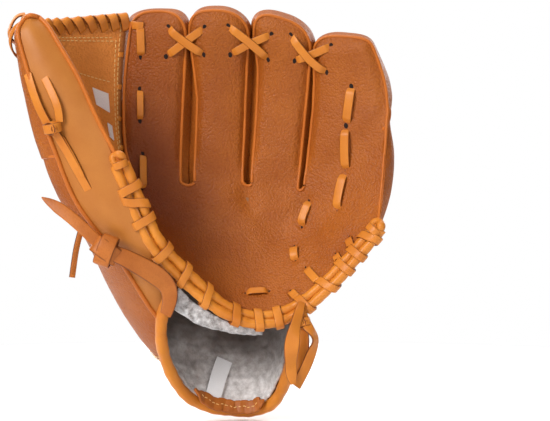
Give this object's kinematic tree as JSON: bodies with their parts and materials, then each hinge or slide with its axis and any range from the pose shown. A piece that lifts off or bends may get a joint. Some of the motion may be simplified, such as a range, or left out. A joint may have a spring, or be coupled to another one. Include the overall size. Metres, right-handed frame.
{
  "type": "baseball glove",
  "caption": "Fielder's glove: padded leather palm, separate finger stalls and thumb joined by a stitched web, laced heel edge, fleece-lined wrist opening and tie strap.",
  "frame": {"origin": "centre of the wrist opening, between the palm's heel edge and the back panel", "axes": "+Z along the fingers towards their tips, -Y out of the palm's face, +X towards the little finger"},
  "size_m": [0.2746, 0.1369, 0.3011],
  "materials": {
    "palm_leather": "pebbled grain, satin",
    "smooth_tan_leather": "smooth, satin",
    "binding_leather": "smooth, satin",
    "lace_leather": "smooth, satin",
    "strap_leather": "smooth, satin",
    "felt_padding": "felted",
    "lining_cloth": "woven",
    "fleece": "napped",
    "label_cloth": "woven satin"
  },
  "bodies": {
    "palm": {"back_panel": "palm_leather", "care_label": "label_cloth", "heel_lace": "lace_leather", "heel_roll": "binding_leather", "heel_side_welt": "binding_leather", "heel_tie_knot": "lace_leather", "heel_tie_lace": "lace_leather", "index_back": "palm_leather", "index_edge_lace": "lace_leather", "index_liner": "lining_cloth", "index_welt": "binding_leather", "middle_back": "palm_leather", "middle_liner": "lining_cloth", "middle_welt": "binding_leather", "outer_panel_heel_end": "smooth_tan_leather", "palm_lining": "lining_cloth", "palm_pad": "felt_padding", "palm_shell": "palm_leather", "palm_tie_lace": "lace_leather", "ring_back": "palm_leather", "ring_liner": "lining_cloth", "ring_welt": "binding_leather", "tip_lace": "lace_leather", "web_panel": "palm_leather", "web_side_lace": "lace_leather", "web_top_lace": "lace_leather", "web_top_roll": "binding_leather", "window_binding": "binding_leather", "wrist_fleece": "fleece", "wrist_rim_roll": "binding_leather", "wrist_strap": "strap_leather"},
    "thumb": {"heel_lace_thumb": "lace_leather", "heel_roll_thumb": "binding_leather", "strap_knot": "strap_leather", "strap_tail": "strap_leather", "thumb_back_panel": "palm_leather", "thumb_back_welt": "binding_leather", "thumb_liner": "lining_cloth", "thumb_lining": "lining_cloth", "thumb_outer_panel": "smooth_tan_leather", "thumb_pad": "felt_padding", "thumb_shell": "palm_leather", "thumb_tie_lace": "lace_leather", "thumb_welt": "binding_leather", "web_panel_thumb_half": "palm_leather", "web_top_lace_thumb_half": "lace_leather", "web_top_roll_thumb_half": "binding_leather"},
    "pinky": {"heel_lace_pinky": "lace_leather", "heel_roll_pinky": "binding_leather", "pinky_back": "palm_leather", "pinky_edge_lace": "lace_leather", "pinky_liner": "lining_cloth", "pinky_lining": "lining_cloth", "pinky_pad": "felt_padding", "pinky_shell": "palm_leather", "pinky_side_panel": "palm_leather", "pinky_welt": "binding_leather", "tip_lace_pinky": "lace_leather"}
  },
  "joints": [
    {"name": "thumb_fold", "type": "hinge", "parent": "palm", "child": "thumb", "pos_m": [-0.037, -0.066, 0.079], "axis": [-0.3162, 0.197, 0.928], "range_deg": [0, 32]},
    {"name": "pinky_fold", "type": "hinge", "parent": "palm", "child": "pinky", "pos_m": [0.061, -0.028, 0.245], "axis": [-0.0306, -0.1121, -0.9932], "range_deg": [0, 18]}
  ]
}
